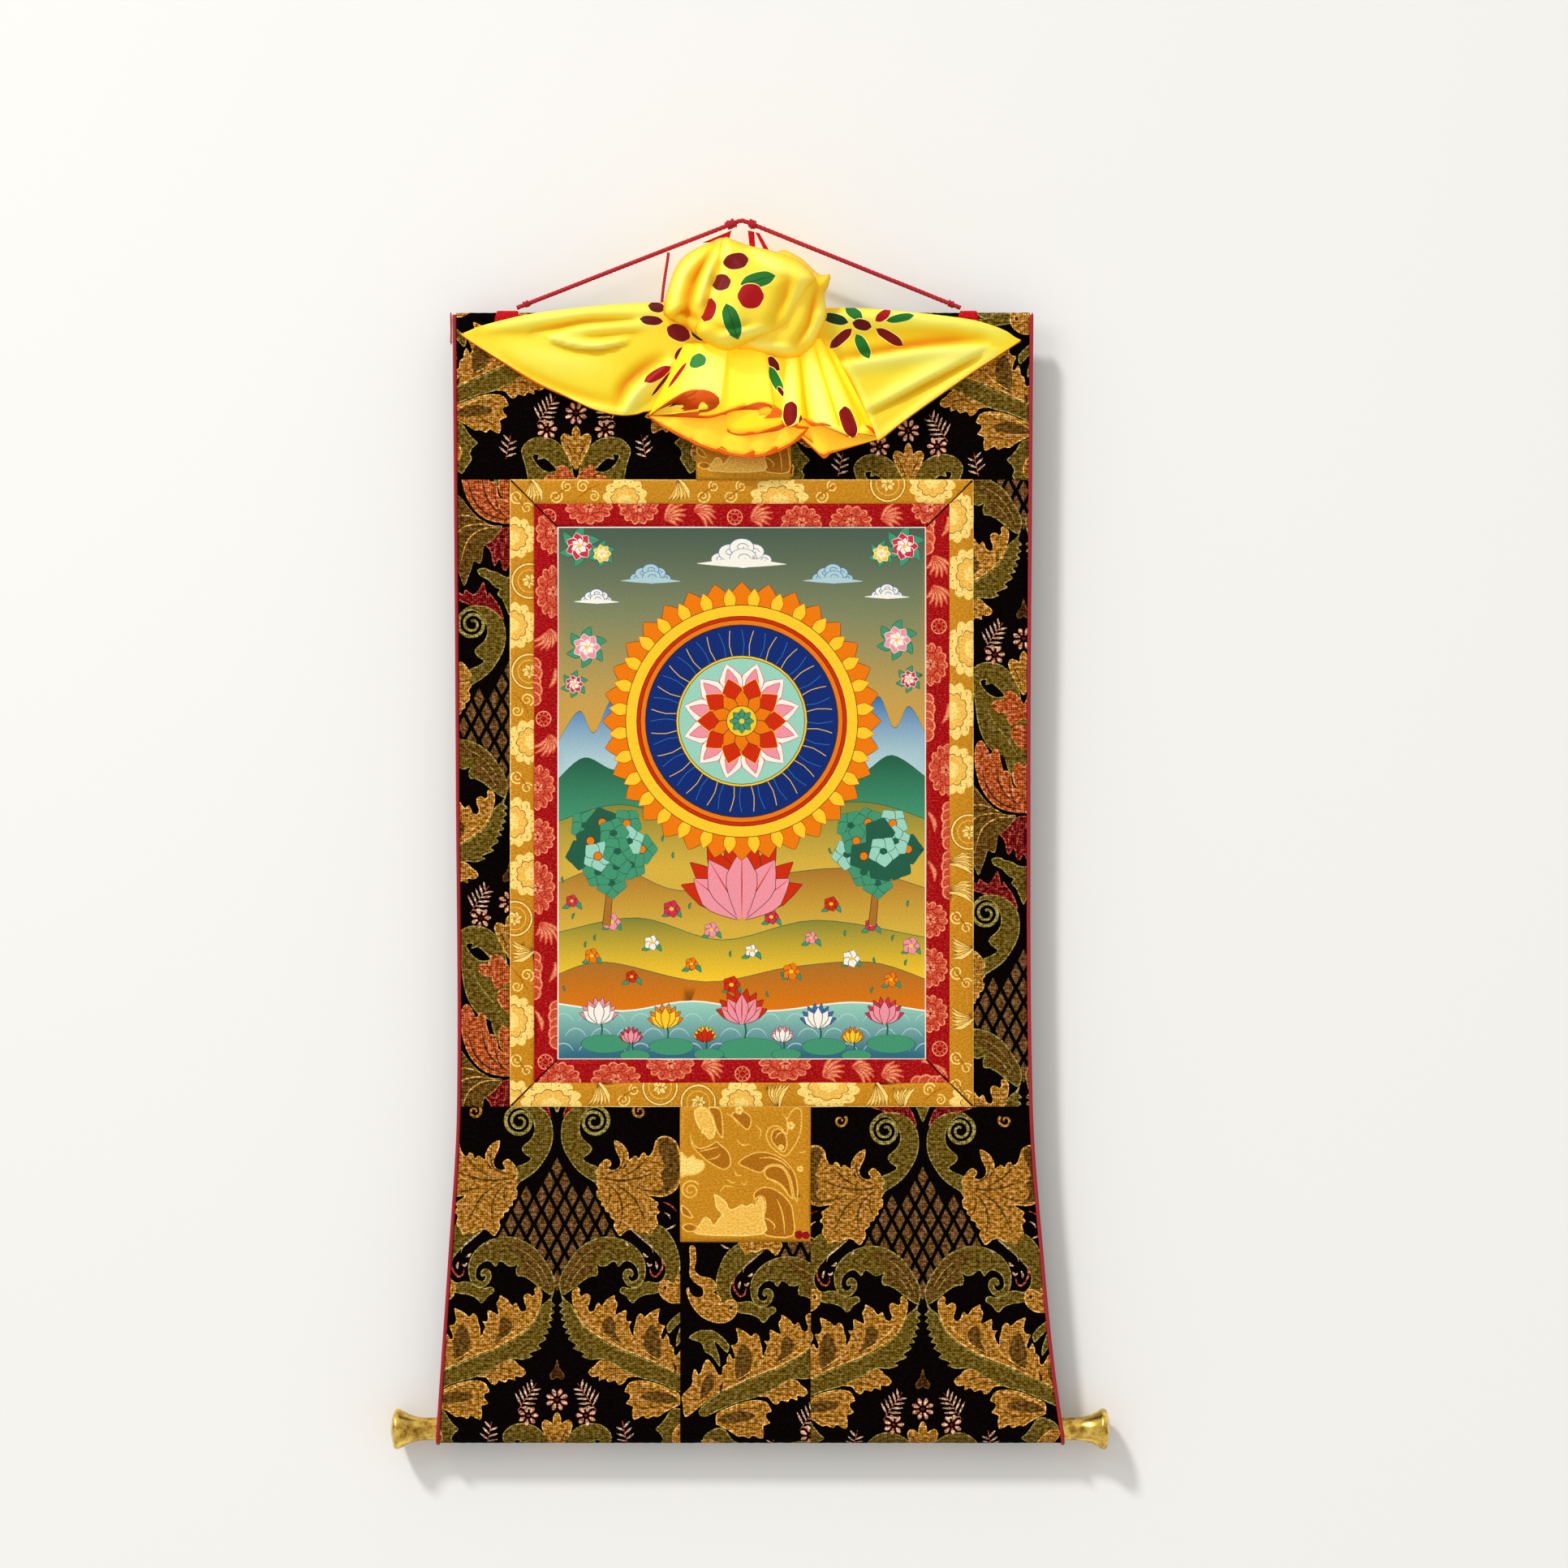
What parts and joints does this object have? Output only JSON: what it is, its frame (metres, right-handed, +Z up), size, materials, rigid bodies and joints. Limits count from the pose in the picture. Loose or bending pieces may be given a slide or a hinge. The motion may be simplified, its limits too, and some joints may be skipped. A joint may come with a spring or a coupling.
{
  "type": "thangka hanging scroll with stave and roller",
  "caption": "Hanging thangka scroll: painted canvas in red and gold borders on a brocade mount, with a gathered yellow veil, a hanging cord, a head stave and a brass-capped roller.",
  "frame": {"origin": "top of the hanging cord, where it passes over a nail", "axes": "+Z up, +X to the viewer's right, +Y from the viewer into the wall"},
  "size_m": [0.586, 0.0835, 1.0015],
  "materials": {
    "brocade": "woven satin",
    "gold_silk": "woven silk",
    "red_silk": "woven silk",
    "canvas": "painted",
    "veil_silk": "satin silk",
    "red_cord": "twisted cotton",
    "pale_wood": "planed",
    "dowel_wood": "planed",
    "brass": "polished"
  },
  "bodies": {
    "root": {"brocade_head": "brocade", "brocade_side_left": "brocade", "brocade_side_right": "brocade", "brocade_foot_left": "brocade", "brocade_foot_right": "brocade", "brocade_foot_middle": "brocade", "gold_patch_foot": "gold_silk", "gold_patch_head": "gold_silk", "gold_border_top": "gold_silk", "gold_border_bottom": "gold_silk", "gold_border_left": "gold_silk", "gold_border_right": "gold_silk", "red_border_top": "red_silk", "red_border_bottom": "red_silk", "red_border_left": "red_silk", "red_border_right": "red_silk", "painting": "canvas", "veil": "veil_silk", "binding_left": "red_cord", "binding_right": "red_cord", "cord_tab_left": "red_cord", "cord_tab_right": "red_cord", "hanging_cord": "red_cord", "cord_knot_left": "red_cord", "nail_knot_left": "red_cord", "nail_knot_right": "red_cord", "cord_knot_right": "red_cord", "ribbon_tail_a": "red_cord", "ribbon_tail_b": "red_cord", "veil_tie": "red_cord", "drop_cord": "red_cord", "stave": "pale_wood", "roller": "dowel_wood", "roller_cap_left": "brass", "roller_cap_right": "brass"}
  },
  "joints": []
}
